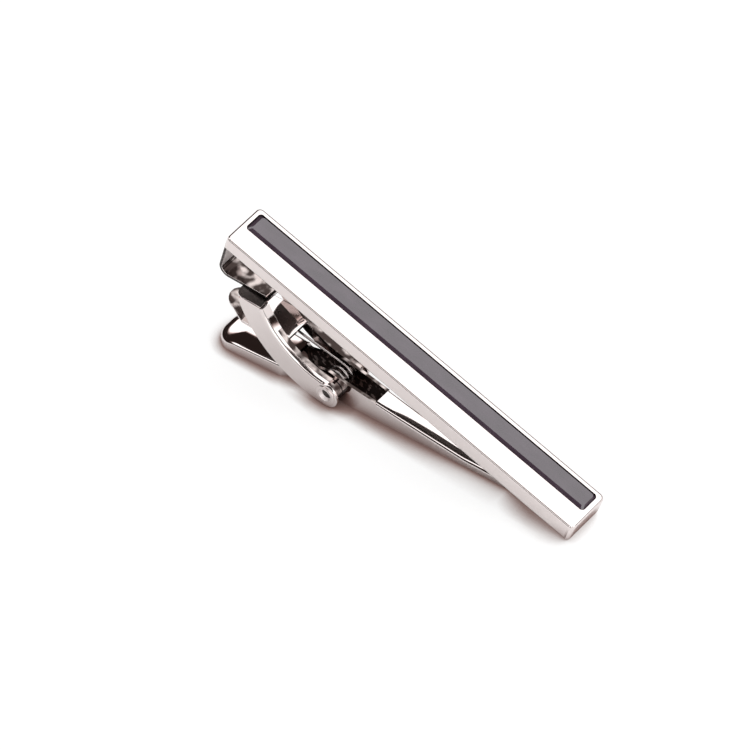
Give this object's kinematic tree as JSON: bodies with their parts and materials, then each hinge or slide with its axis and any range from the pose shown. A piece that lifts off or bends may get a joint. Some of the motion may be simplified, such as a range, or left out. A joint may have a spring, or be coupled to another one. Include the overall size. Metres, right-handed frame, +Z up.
{
  "type": "tie clip",
  "caption": "Polished tie clip: a flat tapered bar with a dark bevelled inlay, on a riveted, spring-closed back clip with two finger tabs.",
  "frame": {"origin": "middle of the bounding box's bottom face, on the table that the clip lies on", "axes": "+X along the clip from its tail to the bar's low end, +Y across it, +Z up"},
  "size_m": [0.0584, 0.007, 0.0215],
  "materials": {
    "polished_plate": "mirror polished white plating over brass",
    "dark_stone": "polished dark stone or resin",
    "cement": "set adhesive",
    "spring_wire": "drawn wire"
  },
  "bodies": {
    "clip": {"front_bar": "polished_plate", "stone_inlay": "dark_stone", "inlay_adhesive": "cement", "riser_bracket": "polished_plate", "clasp_arm": "polished_plate", "pivot_rivet": "polished_plate", "torsion_spring": "spring_wire"},
    "jaw": {"clip_jaw": "polished_plate"}
  },
  "joints": [
    {"name": "jaw_hinge", "type": "hinge", "parent": "clip", "child": "jaw", "pos_m": [-0.01052, 0, 0.00195], "axis": [0, 1, 0], "range_deg": [0, 11], "stiffness_Nm_per_rad": 0.02, "springref_deg": -45.84, "deforming": ["torsion_spring"]}
  ]
}
